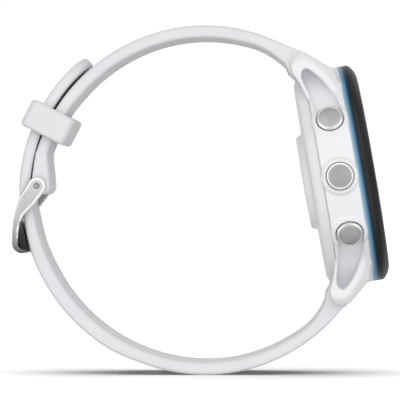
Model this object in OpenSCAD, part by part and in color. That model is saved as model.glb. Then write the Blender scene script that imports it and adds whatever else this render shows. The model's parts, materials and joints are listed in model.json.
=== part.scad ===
// A round GPS running watch standing on its closed strap loop.
// The origin is the middle of the strap loop, where the wrist goes: +Z is up, +X is the
// side the display faces, and the wrist's own direction is Y. The three-button side is -Y.

/* [Case] */
// Outer diameter of the case and bezel
case_d = 46.1; // [45.9:0.1:46.3]
// How far the display is tipped up from upright, in degrees
tilt = 9.8; // [9.5:0.1:10.1]
// Distance of the case axis from the loop's middle, to the right
case_x = 30.73; // [30.7:0.01:30.76]
// Height of the case axis over the loop's middle
case_z = 5.13; // [5.1:0.01:5.16]
// Height of the white case ring above the case's middle plane
case_top = 2.25; // [2.2:0.05:2.3]
// Height of the parting line with the rear cover
case_bottom = -5.0; // [-5.05:0.05:-4.95]
// Radius of the room inside the case for the electronics
cavity_r = 20.0; // [19.9:0.1:20.1]

/* [Front] */
// Height of the front glass above the case's middle plane
front_z = 5.95; // [5.9:0.05:6]
// Underside of the bezel, on top of the blue ring
bezel_z = 3.55; // [3.5:0.05:3.6]
// Radius of the front glass
lens_r = 20.2; // [20.1:0.1:20.3]
// Radius of the window that the bezel's ledge leaves for the display
window_r = 18.6; // [18.5:0.1:18.7]

/* [Back] */
// Radius of the rear cover at the parting line
cover_r = 22.3; // [22.2:0.1:22.4]
// Outer face of the rear cover
back_z = -7.45; // [-7.5:0.05:-7.4]
// Inner floor of the rear cover
floor_z = -6.05; // [-6.1:0.05:-6]
// Top of the raised sensor island that touches the wrist
island_z = -8.85; // [-8.9:0.05:-8.8]
// Radius of the sensor window in the island
sensor_r = 7.4; // [7.3:0.1:7.5]

/* [Buttons] */
// Angle between neighbouring buttons round the case, in degrees
button_angle = 31; // [30.5:0.5:31.5]
// Height of the button axes above the case's middle plane
button_z = -1.4; // [-1.45:0.05:-1.35]
// Radius of a button cap
cap_r = 2.8; // [2.75:0.05:2.85]
// How far a button travels when it is pressed
button_travel = 0.5; // [0.4:0.05:0.5]
// Clearance between a cap and its hole
cap_gap = 0.1; // [0.08:0.01:0.1]

/* [Strap] */
// Width of the strap
strap_w = 22; // [21.9:0.1:22.1]
// Thickness of the strap away from its ends
strap_t = 2.4; // [2.35:0.05:2.4]
// Distance between neighbouring adjustment holes
hole_pitch = 6; // [5.9:0.1:6.1]
// Width of an adjustment hole, across the strap
hole_w = 2.2; // [2.1:0.1:2.4]
// Length of an adjustment hole, along the strap
hole_l = 3.4; // [3.2:0.1:3.6]

/* [Lugs] */
// Distance of each spring bar from the case axis
bar_x = 24.1; // [24.05:0.05:24.15]
// Height of the spring bars above the case's middle plane
bar_z = -4.9; // [-4.95:0.05:-4.85]
// Radius of the round lug tips
lug_r = 2.6; // [2.55:0.05:2.65]
// Half the width over both lug arms
lug_y = 14.7; // [14.6:0.1:14.8]
// Travel of the quick-release levers
lever_travel = 1.4; // [1.3:0.05:1.4]

/* [Buckle] */
// Place of the buckle pin, to the right of the loop's middle
pin_x = -33.9; // [-33.92:0.01:-33.88]
// Height of the buckle pin over the loop's middle
pin_z = 2.9; // [2.85:0.05:2.95]
// Radius of the buckle pin
pin_r = 0.7; // [0.68:0.01:0.7]
// Thickness of each buckle arm
arm_t = 1.5; // [1.4:0.1:1.6]

/* [Keeper] */
// Angle of the keeper round the loop, from +X
keeper_angle = 152.7; // [152:0.1:153]
// Width of the keeper along the strap
keeper_w = 6; // [5.8:0.1:6.2]

/* [Hidden] */
$fn = 96;

case_r = case_d / 2;
white = [0.93, 0.94, 0.96];
steel = [0.72, 0.72, 0.73];
black = [0.12, 0.12, 0.13];
board_green = [0.1, 0.35, 0.2];

// Button angles round the case axis, from 6 o'clock towards +Y
light_at = -90 - button_angle;
up_at = -90;
down_at = -90 + button_angle;
start_at = 90 + button_angle;
back_at = 90 - button_angle;
all_buttons = [light_at, up_at, down_at, start_at, back_at];

// Distances from the case axis along a button's own axis
collar_face = case_r + 0.35;
cap_face = collar_face + 0.7;
cap_back = collar_face - 0.6;
cap_floor = collar_face - 2;
seal_floor = cap_floor - 0.5;
stem_end = cavity_r - 0.55;
stem_r = 0.8;
groove_r = 0.55;
clip_t = 0.25;
clip_at = stem_end + 0.15;
switch_face = stem_end - button_travel - 0.05;

// Small fits
run_gap = 0.05;
loose_gap = 0.15;

// Places of the rear cover's screws
screw_ring = 18.6;
screw_r = 0.6;

// The charging port's distance from the case axis, and its depth
port_x = 14.6;
port_depth = 0.9;

// Place of a quick-release lever's knob along its bar, and the knob's radius
knob_y = 7;
knob_r = 0.8;

// The upper strap's outer face: start and heading in the side view, then [length, turn] arcs
upper_start = [21.8, 30.95, 156.9, 0];
upper_arcs = [[7.1, 0], [24, 38.55], [37.95, 57.95]];
// The lower strap's outer face, up past the buckle pin to the tail's tip
lower_start = [30.3, -22.4, -127.5, 0];
lower_arcs = [[35.5, -55.8], [50.1, -74.2], [6.9, -3.8], [2.9, -11.8], [31, -47.5]];
arc_steps = 16;
// How much thicker the strap is where it leaves the lugs, and over what length it thins
flare_t = 2.3;
flare_l = 12;
// The hole that holds the tongue, along the lower strap from the lugs, and how many lie
// before and after it
tongue_hole_at = 92.45;
tongue_hole_l = 6.7;
holes_before = 9;
holes_after = 4;
// Radius of the tail's corners
tip_round = 7;

// The centre of the arc that the keeper slides on, and its faces' distances from there
keeper_centre = [2.5, -1.3];
keeper_in = 33.2;
keeper_out = 43.35;
keeper_slot_in = 35.45;
keeper_slot_out = 41.5;
keeper_side = 1.9;
keeper_gap = 0.3;

// Below this height the buckle's frame runs right across as its crossbar
crossbar_z = -4.5;
// Half the inner width of the buckle's frame
frame_y = 11.4;
tongue_w = 1.8;

// One short step along a bend: [x, z, heading, distance]
function bend_step(p, length, turn) =
    let (
        half = turn / 2,
        chord = abs(turn) < 0.001 ? length : length * sin(half) / (half * PI / 180)
    )
    [p[0] + chord * cos(p[2] + half), p[1] + chord * sin(p[2] + half),
     p[2] + turn, p[3] + length];

// The stations of one arc, after p
function bend(p, length, turn, n) =
    n == 0 ? [] :
    let (q = bend_step(p, length / n, turn / n))
    concat([q], bend(q, length * (n - 1) / n, turn * (n - 1) / n, n - 1));

// The stations of a run of tangent arcs, p among them
function run(p, arcs, i = 0) =
    i == len(arcs) ? [p] :
    let (part = bend(p, arcs[i][0], arcs[i][1], arc_steps))
    concat([p], [for (k = [0:arc_steps - 2]) part[k]], run(part[arc_steps - 1], arcs, i + 1));

// The station at a given distance along a run of arcs
function station(p, arcs, s, i = 0) =
    i == len(arcs) - 1 || s <= arcs[i][0]
        ? bend_step(p, s, arcs[i][1] * s / arcs[i][0])
        : station(bend_step(p, arcs[i][0], arcs[i][1]), arcs, s - arcs[i][0], i + 1);

// The strap's thickness at a distance from the lugs
function strap_thickness(s) = strap_t + flare_t * pow(max(0, 1 - s / flare_l), 2.2);

// The inner face's point across from a station; side is 1 where the loop is on the left
function across(p, side) =
    let (t = strap_thickness(p[3]))
    [p[0] - side * t * sin(p[2]), p[1] + side * t * cos(p[2])];

function outline(stations, side) = concat(
    [for (p = stations) [p[0], p[1]]],
    [for (k = [len(stations) - 1:-1:0]) across(stations[k], side)]);

function arc(cx, cy, r, from, to, n = 12) =
    [for (k = [0:n]) let (a = from + (to - from) * k / n) [cx + r * cos(a), cy + r * sin(a)]];

// Puts a shape that is drawn round the case's own axis in its place; there +Z is the way
// the display faces, +X is 6 o'clock and -Y is the three-button side
module in_case() {
    translate([case_x, 0, case_z])
        rotate([0, 90 - tilt, 0])
            children();
}

// Puts a shape at 6 o'clock, or mirrored at 12 o'clock
module at_end(upper) {
    in_case()
        mirror([upper ? 1 : 0, 0, 0])
            children();
}

// Puts a shape on a button's axis, with +Z pointing outwards from the case axis
module on_button(angle) {
    in_case()
        translate([0, 0, button_z])
            rotate([0, 0, angle])
                rotate([0, 90, 0])
                    children();
}

// Extrudes a side-view outline across the watch, from -half to half
module plate(points, half) {
    rotate([90, 0, 0])
        linear_extrude(height = 2 * half, center = true)
            polygon(points);
}

module disc(r, z0, z1) {
    translate([0, 0, z0])
        cylinder(r = r, h = z1 - z0);
}

module ring(r_in, r_out, z0, z1) {
    difference() {
        disc(r_out, z0, z1);
        disc(r_in, z0 - 1, z1 + 1);
    }
}

module block(low, high) {
    translate(low)
        cube(high - low);
}

// A coil of round wire round +Z
module coil(r, wire, turns, z0, z1) {
    sides = 6;
    count = ceil(turns * 10);
    points = [for (k = [0:count]) let (a = 360 * turns * k / count)
        for (j = [0:sides - 1]) let (b = 360 * j / sides, q = r + wire / 2 * cos(b))
            [q * cos(a), q * sin(a), z0 + (z1 - z0) * k / count + wire / 2 * sin(b)]];
    skin = [for (k = [0:count - 1]) for (j = [0:sides - 1]) let (i = (j + 1) % sides)
        [k * sides + j, (k + 1) * sides + j, (k + 1) * sides + i, k * sides + i]];
    polyhedron(points, concat(skin,
        [[for (j = [0:sides - 1]) j]],
        [[for (j = [sides - 1:-1:0]) count * sides + j]]));
}

// ---- Case ----

// Side view of a lug arm at 6 o'clock, drawn in the case's own axes; grow is negative for
// the smaller face at the arm's outer side
function lug_outline(grow) = concat(
    [[14, 1.9 + grow], [19, 1.6 + grow], [23 + grow, 0.4 + grow]],
    arc(bar_x, bar_z, lug_r + grow, 42, -90),
    [[21.4, bar_z - lug_r + 0.15 - grow], [19.5, -5.6 - grow], [14, case_bottom]]);

// The room between the arms that the strap's end fills
strap_seat = [[24.4, -1.25], [22.9, -1.6], [21.7, -3.4], [21.7, -9], [30, -9], [30, 3]];

// The scooped pocket in a lug arm's side, from its tip to the button
lug_pocket = concat(
    [[13.5, -3.9], [17.5, -4.65], [20.9, -5.6]],
    arc(22.6, -4.75, 1.1, -140, 50, 6),
    [[21.7, -2.4], [20.3, -1.3], [18.4, -0.3], [17, 0.4], [14.7, 1.1], [13.5, 1.3]]);

module lug(upper) {
    at_end(upper) {
        plate(lug_outline(0), lug_y - 1.1);
        plate(lug_outline(-0.8), lug_y);
    }
}

// What the lugs' cut-outs take away at one end
module lug_cuts(upper) {
    at_end(upper) {
        plate(strap_seat, strap_w / 2 + loose_gap);
        difference() {
            plate(lug_pocket, 24);
            cylinder(r = case_r - 0.8, h = 30, center = true);
            block([0, 1 - lug_y, -20], [40, lug_y - 1, 20]);
        }
        translate([bar_x, 0, bar_z])
            rotate([90, 0, 0])
                cylinder(r = 0.5, h = 2 * 12.6, center = true);
    }
}

module screw_places() {
    for (k = [0:3])
        rotate([0, 0, 45 + 90 * k])
            translate([screw_ring, 0, 0])
                children();
}

module case_middle() {
    color(white)
    difference() {
        union() {
            difference() {
                union() {
                    in_case() {
                        disc(case_r, case_bottom, case_top);
                        disc(21.3, case_top - 1, bezel_z - 0.15);
                    }
                    lug(true);
                    lug(false);
                    for (a = all_buttons)
                        on_button(a)
                            disc(3.6, cavity_r - 1, collar_face);
                }
                in_case() {
                    disc(cavity_r, -12, 3.0);
                    disc(cavity_r + 0.4, 2.9, 6);
                    disc(cover_r + 0.05, -12, case_bottom);
                }
            }
            in_case()
                screw_places()
                    disc(1.7, case_bottom + 0.3, -1);
        }
        lug_cuts(true);
        lug_cuts(false);
        for (a = all_buttons)
            on_button(a) {
                disc(cap_r + cap_gap, cap_floor, collar_face + 2);
                disc(1.35, seal_floor, cap_floor + 1);
                disc(stem_r + run_gap, cavity_r - 3, cap_floor);
            }
        in_case() {
            screw_places()
                disc(screw_r, case_bottom - 1, -1.6);
            translate([0, 18, 0])
                rotate([-90, 0, 0])
                    cylinder(r = 0.5, h = 8);
        }
    }
}

// ---- Front ----

module bezel() {
    color(black)
    in_case()
        rotate_extrude()
            polygon([
                [window_r, bezel_z], [case_r, bezel_z], [case_r, 4.2], [case_r - 0.1, 4.5],
                [case_r - 0.45, 4.85], [case_r - 1.45, 5.55], [case_r - 1.95, 5.8],
                [case_r - 2.5, front_z - 0.03], [lens_r + run_gap, front_z - 0.03],
                [lens_r + run_gap, 4.65], [window_r, 4.65]
            ]);
}

module front_lens() {
    color([0.05, 0.05, 0.06])
    in_case()
        rotate_extrude()
            polygon([
                [0, 4.75], [lens_r, 4.75], [lens_r, front_z - 0.15],
                [lens_r - 0.15, front_z], [0, front_z]
            ]);
}

module lens_gasket() {
    color(black)
    in_case()
        ring(window_r, lens_r - 0.2, 4.65, 4.75);
}

module accent_ring() {
    color([0.25, 0.6, 0.85])
    in_case()
        rotate_extrude()
            polygon([
                [21.4, case_top], [case_r - 0.05, case_top], [case_r, case_top + 0.15],
                [case_r, bezel_z - 0.1], [case_r - 0.05, bezel_z], [21.4, bezel_z]
            ]);
}

module bezel_gasket() {
    color([0.3, 0.3, 0.3])
    in_case()
        ring(cavity_r + 0.5, 21.2, bezel_z - 0.15, bezel_z);
}

module display_panel() {
    color([0.08, 0.08, 0.1])
    in_case()
        disc(18.2, 3.4, 4.75);
}

module display_tray() {
    color([0.25, 0.25, 0.27])
    in_case() {
        difference() {
            union() {
                disc(cavity_r - 0.1, 2.4, 3.2);
                disc(cavity_r + 0.35, 3.0, 3.4);
            }
            block([6, -8, 2], [14, 8, 4]);
        }
        for (a = [20, 160, 200, 340])
            rotate([0, 0, a])
                translate([16.5, 0, 0])
                    disc(0.9, 1.0, 2.4);
    }
}

// ---- Electronics ----

module main_board() {
    color(board_green)
    in_case()
        disc(18.9, 0.2, 1.0);
}

module board_chips() {
    color(black)
    in_case() {
        block([-9, -6, 1.0], [-1, 2, 2.0]);
        block([1, -9, 1.0], [7, -3, 1.9]);
        block([2, 0, 1.0], [8, 5, 2.1]);
        block([-8, 5, 1.0], [-2, 10, 1.8]);
        block([-4, -14, 1.0], [2, -11, 1.7]);
        block([3, 9, 1.0], [6, 12, 1.7]);
    }
}

module gps_antenna() {
    color([0.8, 0.65, 0.35])
    in_case()
        ring(19.0, 19.7, 1.4, 2.4);
}

module battery() {
    color([0.6, 0.62, 0.65])
    in_case()
        block([-10.4, -12, -5.0], [11.6, 12, -0.5]);
}

module battery_pad() {
    color([0.9, 0.85, 0.5])
    in_case()
        block([-8, -8.5, floor_z + 0.7], [8, 8.5, -5.0]);
}

module vibration_motor() {
    color(steel)
    in_case()
        translate([-14.7, -4.6, 0])
            disc(3.9, floor_z, -3.2);
}

module buzzer() {
    color([0.75, 0.7, 0.55])
    in_case()
        translate([-14.7, 4.6, 0])
            disc(3.9, floor_z, -4.2);
}

module barometer() {
    color(steel)
    in_case()
        block([-1.9, 14.4, -2], [1.9, 16.8, -0.6]);
}

// A flexible strip with a switch behind each button of one side
module switches(angles, middle) {
    color([0.85, 0.6, 0.3])
    in_case()
        intersection() {
            ring(17.2, 17.45, -2.9, 0);
            rotate([0, 0, middle])
                block([10, -10.4, -4], [20, 10.4, 1]);
        }
    for (a = angles)
        color(steel)
        on_button(a) {
            block([-1.3, -1.6, 17.3], [1.3, 1.6, switch_face - 0.3]);
            disc(0.7, switch_face - 0.4, switch_face);
        }
}

module left_switches() {
    switches([light_at, up_at, down_at], -90);
}

module right_switches() {
    switches([start_at, back_at], 90);
}

// ---- Back ----

module rear_cover() {
    color(white)
    difference() {
        union() {
            in_case() {
                difference() {
                    rotate_extrude()
                        polygon([
                            [0, case_bottom], [cover_r, case_bottom], [cover_r - 0.7, -6.5],
                            [cover_r - 1.15, -7.15], [cover_r - 1.7, back_z], [0, back_z]
                        ]);
                    disc(19.4, floor_z, 0);
                }
                screw_places()
                    disc(1.7, floor_z - 0.5, case_bottom);
                rotate_extrude()
                    polygon([
                        [0, back_z + 0.1], [10.5, back_z + 0.1], [10.4, back_z],
                        [9.75, island_z + 0.25], [9.4, island_z], [0, island_z]
                    ]);
            }
        }
        in_case() {
            disc(sensor_r + run_gap, -12, -7.9);
            disc(6.6, -12, 0);
            ring(20.7, 21.3, case_bottom - 0.5, 0);
            screw_places() {
                disc(1.4, -12, back_z + 0.9);
                disc(0.75, -12, 0);
            }
            for (s = [-1, 1])
                translate([port_x, s * 2.6, 0])
                    disc(1.7, -12, back_z + port_depth);
            block([port_x - 1.7, -2.6, -12], [port_x + 1.7, 2.6, back_z + port_depth]);
            for (k = [-1.5:1.5])
                translate([port_x, k * 1.7, 0])
                    disc(0.45, -12, 0);
        }
        for (upper = [true, false])
            at_end(upper)
                plate(strap_seat, strap_w / 2 + loose_gap);
    }
}

module rear_gasket() {
    color([0.3, 0.3, 0.3])
    in_case()
        ring(20.7, 21.3, case_bottom - 0.5, case_bottom);
}

module rear_screws() {
    color(steel)
    in_case()
        screw_places()
            difference() {
                union() {
                    disc(1.3, back_z + 0.2, back_z + 0.9);
                    disc(screw_r, back_z + 0.8, -2);
                }
                translate([0, 0, back_z])
                    cylinder(r = 0.6, h = 0.65, $fn = 6);
            }
}

module sensor_window() {
    color([0.1, 0.1, 0.12])
    in_case()
        rotate_extrude()
            polygon([
                [0, -7.9], [sensor_r, -7.9], [sensor_r, island_z], [sensor_r - 1, island_z - 0.09],
                [sensor_r - 3, island_z - 0.15], [0, island_z - 0.18]
            ]);
}

module sensor_board() {
    color(board_green)
    in_case()
        disc(9, floor_z, floor_z + 0.7);
}

// Light sources in the middle, detectors round them
module sensor_emitters() {
    color([0.7, 0.9, 0.6])
    in_case() {
        block([-1.2, -1.2, -7.6], [1.2, 1.2, floor_z]);
        for (a = [0, 90, 180, 270])
            rotate([0, 0, a])
                block([2.9, -1.3, -7.4], [5.3, 1.3, floor_z]);
    }
}

module charge_contacts() {
    color([0.85, 0.7, 0.35])
    in_case()
        for (k = [-1.5:1.5])
            translate([port_x, k * 1.7, 0])
                disc(0.45, back_z + 0.3, floor_z + 0.4);
}

// ---- Buttons ----

module button(angle) {
    color(steel)
    on_button(angle)
        rotate_extrude()
            polygon([
                [0, stem_end], [groove_r, stem_end], [stem_r, stem_end + 0.1],
                [stem_r, clip_at], [groove_r, clip_at], [groove_r, clip_at + clip_t],
                [stem_r, clip_at + clip_t], [stem_r, cap_back], [cap_r, cap_back],
                [cap_r, cap_face - 0.35], [cap_r - 0.4, cap_face], [0, cap_face]
            ]);
}

module button_clip(angle) {
    color(steel)
    on_button(angle)
        difference() {
            ring(groove_r, 1.3, clip_at, clip_at + clip_t);
            block([-0.4, 0, clip_at - 1], [0.4, 3, clip_at + 1]);
        }
}

module button_spring(angle) {
    color(steel)
    on_button(angle)
        coil(1.9, 0.25, 2, cap_floor + 0.14, cap_back - 0.14);
}

module light_button() {
    button(light_at);
}

module up_button() {
    button(up_at);
}

module down_button() {
    button(down_at);
}

module start_button() {
    button(start_at);
}

module back_button() {
    button(back_at);
}

module light_clip() {
    button_clip(light_at);
}

module up_clip() {
    button_clip(up_at);
}

module down_clip() {
    button_clip(down_at);
}

module start_clip() {
    button_clip(start_at);
}

module back_clip() {
    button_clip(back_at);
}

module light_spring() {
    button_spring(light_at);
}

module up_spring() {
    button_spring(up_at);
}

module down_spring() {
    button_spring(down_at);
}

module start_spring() {
    button_spring(start_at);
}

module back_spring() {
    button_spring(back_at);
}

module button_seals() {
    color(black)
    for (a = all_buttons)
        on_button(a)
            translate([0, 0, seal_floor + 0.24])
                rotate_extrude()
                    translate([stem_r + run_gap + 0.24, 0])
                        circle(r = 0.24, $fn = 24);
}

// ---- Strap ----

// The strap's end between the lug arms, in the case's own axes
strap_end = concat(
    [[23.15, -1.95], [24.45, -1.55], [25.35, -2.3]],
    arc(bar_x, bar_z, lug_r - 0.05, 38, 5, 6),
    [[26.9, -4.9], [24.4, -8.2], [22.7, -7.5], [21.95, -6.6], [21.95, -3.6]]);

module strap_end_piece(upper) {
    at_end(upper)
        plate(strap_end, strap_w / 2);
}

module strap_end_cuts(upper) {
    at_end(upper) {
        translate([bar_x, 0, bar_z])
            rotate([90, 0, 0])
                cylinder(r = 0.9 + run_gap, h = 30, center = true);
        block([bar_x - knob_r - 0.15, knob_y - knob_r - lever_travel - 0.3, -12],
              [bar_x + knob_r + 0.15, knob_y + knob_r + 0.3, bar_z]);
    }
}

module strap_upper() {
    stations = run(upper_start, upper_arcs);
    last = stations[len(stations) - 1];
    inner = across(last, 1);
    color(white)
    difference() {
        union() {
            plate(outline(stations, 1), strap_w / 2);
            strap_end_piece(true);
            // The thick end round the buckle pin
            plate(concat(
                [[last[0], last[1]], [last[0] - 0.5, last[1] - 2.2]],
                arc(pin_x, pin_z, 1.3, 170, 270, 6),
                arc(pin_x + 0.85, pin_z + 0.1, 1.9, 280, 375, 8),
                [[inner[0] + 0.35, inner[1] - 1.8], inner]), strap_w / 2);
        }
        strap_end_cuts(true);
        translate([pin_x, 0, pin_z])
            rotate([90, 0, 0]) {
                cylinder(r = pin_r + 0.08, h = 30, center = true);
                // Room for the tongue's tube
                cylinder(r = 1.6, h = 3, center = true);
            }
        block([pin_x - 4, -1.5, pin_z - 3], [pin_x, 1.5, pin_z + 1.6]);
    }
}

// A slot through the strap at a station, with round ends along it
module strap_slot(p, length, width) {
    translate([p[0], 0, p[1]])
        rotate([0, -p[2], 0]) {
            for (s = [-1, 1])
                translate([s * (length - width) / 2, 0, 0])
                    cylinder(r = width / 2, h = 12, center = true, $fn = 48);
            cube([length - width, width, 12], center = true);
        }
}

module strap_lower() {
    stations = run(lower_start, lower_arcs);
    last = stations[len(stations) - 1];
    color(white)
    difference() {
        union() {
            plate(outline(stations, -1), strap_w / 2);
            strap_end_piece(false);
        }
        strap_end_cuts(false);
        for (k = [-holes_before:holes_after])
            strap_slot(station(lower_start, lower_arcs, tongue_hole_at + k * hole_pitch),
                k == 0 ? tongue_hole_l : hole_l, hole_w);
        // Rounds the tail's two corners
        translate([last[0], 0, last[1]])
            rotate([0, -last[2], 0])
                for (s = [0, 1])
                    mirror([0, s, 0])
                        difference() {
                            block([-tip_round, strap_w / 2 - tip_round, -8], [3, 20, 4]);
                            translate([-tip_round, strap_w / 2 - tip_round, -9])
                                cylinder(r = tip_round, h = 14);
                        }
    }
}

// ---- Spring bars ----

module spring_bar(upper) {
    color(steel)
    at_end(upper)
        translate([bar_x, 0, bar_z])
            difference() {
                rotate([-90, 0, 0]) {
                    ring(0.5, 0.9, -10.8, 10.5);
                    disc(0.9, -10.8, -3);
                    disc(0.45, -12.4, -10);
                }
                // The slot that the lever's knob slides in
                block([-0.7, 4.6, -2], [0.7, 8.2, 0]);
            }
}

module spring_bar_upper() {
    spring_bar(true);
}

module spring_bar_lower() {
    spring_bar(false);
}

module release_lever(upper) {
    color(steel)
    at_end(upper)
        translate([bar_x, 0, bar_z]) {
            rotate([-90, 0, 0])
                disc(0.45, 6, 12.4);
            translate([0, knob_y, -3.2])
                cylinder(r = 0.55, h = 3.2);
            translate([0, knob_y, -3.2])
                cylinder(r = knob_r, h = 0.7);
        }
}

module release_lever_upper() {
    release_lever(true);
}

module release_lever_lower() {
    release_lever(false);
}

module bar_spring(upper) {
    color(steel)
    at_end(upper)
        translate([bar_x, 0, bar_z])
            rotate([-90, 0, 0])
                coil(0.36, 0.16, 9, -2.85, 5.85);
}

module bar_spring_upper() {
    bar_spring(true);
}

module bar_spring_lower() {
    bar_spring(false);
}

// ---- Buckle ----

// Side view of a buckle arm: a round head on the pin, then a bend down to the crossbar
arm_outline = concat(
    arc(pin_x, pin_z, 1.9, -38, 148),
    [[-37.2, 1.2], [-38.3, -2.1], [-38.85, -4.6], [-39.07, -7]],
    arc(-36.85, -8.95, 2.25, 172, 262, 8),
    [[-36.0, -11.05], [-35.9, -10.6]],
    arc(-36.7, -9.2, 1.15, 265, 185, 6),
    [[-37.75, -7], [-37.45, -4.9], [-36.6, -3.2], [-34.5, -1.0]]);

// Side view of the thicker middle of the crossbar, which follows the strap that lies on it
crossbar_outline = [
    [-37.9, -4.6], [-37.2, -4.6], [-36.8, -6.1], [-36.34, -8.0], [-35.98, -9.4],
    [-35.98, -10.7], [-37.5, -10.2], [-38.2, -7]];

module buckle_frame() {
    color(steel)
    difference() {
        union() {
            plate(arm_outline, frame_y + arm_t);
            plate(crossbar_outline, frame_y);
        }
        block([-45, -frame_y, crossbar_z], [-20, frame_y, 20]);
        translate([pin_x, 0, pin_z])
            rotate([90, 0, 0])
                cylinder(r = 0.5, h = 40, center = true);
        // The notch that the tongue's tip lies in
        plate([[-45, 0], [-37, 0], [-37, -7.1], [-38.1, -7.5], [-38.1, -9.2], [-45, -9.2]],
              tongue_w / 2 + 0.3);
    }
}

module buckle_pin() {
    color(steel)
    translate([pin_x, 0, pin_z])
        rotate([90, 0, 0]) {
            cylinder(r = pin_r, h = 2 * frame_y, center = true);
            cylinder(r = 0.5, h = 2 * (frame_y + arm_t), center = true);
        }
}

module buckle_tongue() {
    color(steel)
    difference() {
        union() {
            translate([pin_x, 0, pin_z])
                rotate([90, 0, 0])
                    cylinder(r = 1.15, h = 2.7, center = true);
            plate([
                [-33.6, 3.9], [-34.3, 3.95], [-36.2, 1.9], [-37.75, -1.2], [-38.7, -4.6],
                [-39.02, -8.0], [-38.9, -8.6], [-38.4, -8.5], [-38.35, -7.9],
                [-37.75, -4.7], [-36.7, -1.6], [-35.3, 0.9], [-33.9, 1.9]
            ], tongue_w / 2);
        }
        translate([pin_x, 0, pin_z])
            rotate([90, 0, 0])
                cylinder(r = pin_r + 0.08, h = 10, center = true);
    }
}

// ---- Keeper ----

module keeper() {
    depth = keeper_out - keeper_in;
    half = strap_w / 2 + keeper_gap + keeper_side;
    slot_half = strap_w / 2 + keeper_gap;
    corner = 1.6;
    color([0.9, 0.9, 0.91])
    translate([keeper_centre[0], 0, keeper_centre[1]])
        rotate([0, -keeper_angle, 0])
            difference() {
                union() {
                    block([keeper_in, corner - half, -keeper_w / 2],
                          [keeper_out, half - corner, keeper_w / 2]);
                    block([keeper_in + corner, -half, -keeper_w / 2],
                          [keeper_in + depth - corner, half, keeper_w / 2]);
                    for (x = [keeper_in + corner, keeper_out - corner])
                        for (y = [corner - half, half - corner])
                            translate([x, y, 0])
                                cylinder(r = corner, h = keeper_w, center = true);
                }
                block([keeper_slot_in, -slot_half, -10], [keeper_slot_out, slot_half, 10]);
            }
}

case_middle();
bezel();
front_lens();
lens_gasket();
accent_ring();
bezel_gasket();
display_panel();
display_tray();
main_board();
board_chips();
gps_antenna();
battery();
battery_pad();
vibration_motor();
buzzer();
barometer();
left_switches();
right_switches();
rear_cover();
rear_gasket();
rear_screws();
sensor_window();
sensor_board();
sensor_emitters();
charge_contacts();
button_seals();
strap_upper();
strap_lower();
spring_bar_upper();
spring_bar_lower();
light_button();
up_button();
down_button();
start_button();
back_button();
light_clip();
up_clip();
down_clip();
start_clip();
back_clip();
light_spring();
up_spring();
down_spring();
start_spring();
back_spring();
release_lever_upper();
release_lever_lower();
bar_spring_upper();
bar_spring_lower();
buckle_frame();
buckle_pin();
buckle_tongue();
keeper();
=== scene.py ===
"""Looks for the running watch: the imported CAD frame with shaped, detailed skins on it."""

import json
import math

import bpy
import numpy as np
from mathutils import Matrix, Vector


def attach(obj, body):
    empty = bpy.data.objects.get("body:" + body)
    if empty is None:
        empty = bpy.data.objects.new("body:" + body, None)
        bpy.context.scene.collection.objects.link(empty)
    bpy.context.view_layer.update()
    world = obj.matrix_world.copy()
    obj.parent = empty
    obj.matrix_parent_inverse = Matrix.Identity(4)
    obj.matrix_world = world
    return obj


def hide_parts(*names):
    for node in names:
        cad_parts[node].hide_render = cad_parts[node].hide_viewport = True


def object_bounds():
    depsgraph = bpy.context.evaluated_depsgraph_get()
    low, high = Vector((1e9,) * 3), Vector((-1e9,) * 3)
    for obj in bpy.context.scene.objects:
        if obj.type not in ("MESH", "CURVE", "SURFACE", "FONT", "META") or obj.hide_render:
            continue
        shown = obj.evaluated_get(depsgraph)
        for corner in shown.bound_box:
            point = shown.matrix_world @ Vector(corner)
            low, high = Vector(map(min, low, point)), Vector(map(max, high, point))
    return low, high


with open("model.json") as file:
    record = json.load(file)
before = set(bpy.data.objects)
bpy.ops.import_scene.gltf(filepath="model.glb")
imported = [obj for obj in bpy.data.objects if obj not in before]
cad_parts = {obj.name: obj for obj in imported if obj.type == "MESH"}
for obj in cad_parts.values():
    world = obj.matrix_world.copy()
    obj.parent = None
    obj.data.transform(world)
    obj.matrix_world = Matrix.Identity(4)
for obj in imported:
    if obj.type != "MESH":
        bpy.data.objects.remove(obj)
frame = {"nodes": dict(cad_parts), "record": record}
cad_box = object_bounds()
nodes = frame["nodes"]
MM = 0.001

# ---------------------------------------------------------------- sizes, in millimetres

TILT = math.radians(9.8)
CASE_X, CASE_Z = 30.73, 5.13
CASE_R, CASE_TOP, CASE_BOTTOM = 23.05, 2.25, -5.0
CAVITY_R = 20.0
BEZEL_Z, FRONT_Z, LENS_R, WINDOW_R = 3.55, 5.95, 20.2, 18.6
COVER_R, BACK_Z, FLOOR_Z, ISLAND_Z, SENSOR_R = 22.3, -7.45, -6.05, -8.85, 7.4
BUTTON_Z, CAP_R, CAP_GAP = -1.4, 2.8, 0.1
COLLAR_R, COLLAR_FACE = 3.65, CASE_R + 0.35
CAP_FACE, CAP_BACK, CAP_FLOOR = COLLAR_FACE + 0.7, COLLAR_FACE - 0.6, COLLAR_FACE - 2
STEM_END = CAVITY_R - 0.55
BUTTONS = {"light": -121, "up": -90, "down": -59, "start": 121, "back": 59}
BAR_X, BAR_Z, LUG_R, LUG_Y = 24.1, -4.9, 2.6, 14.7
STRAP_HALF, STRAP_T, FLARE_T, FLARE_L = 11.0, 2.4, 2.3, 12.0
SEAT_HALF = STRAP_HALF + 0.15
HOLE_PITCH, HOLE_AT, TONGUE_HOLE, HOLE_L, HOLE_W = 6.0, 92.45, 6.7, 3.4, 2.2
TAIL_ROUND = 7
PIN_X, PIN_Z, PIN_R, ARM_T, FRAME_Y = -33.9, 2.9, 0.7, 1.5, 11.4
CROSSBAR_Z, TONGUE_W = -4.5, 1.8
KEEPER_C, KEEPER_ANGLE, KEEPER_W = (2.5, -1.3), math.radians(152.7), 6.0
KEEPER_IN, KEEPER_OUT, SLOT_IN, SLOT_OUT = 33.2, 43.35, 35.45, 41.5
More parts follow.
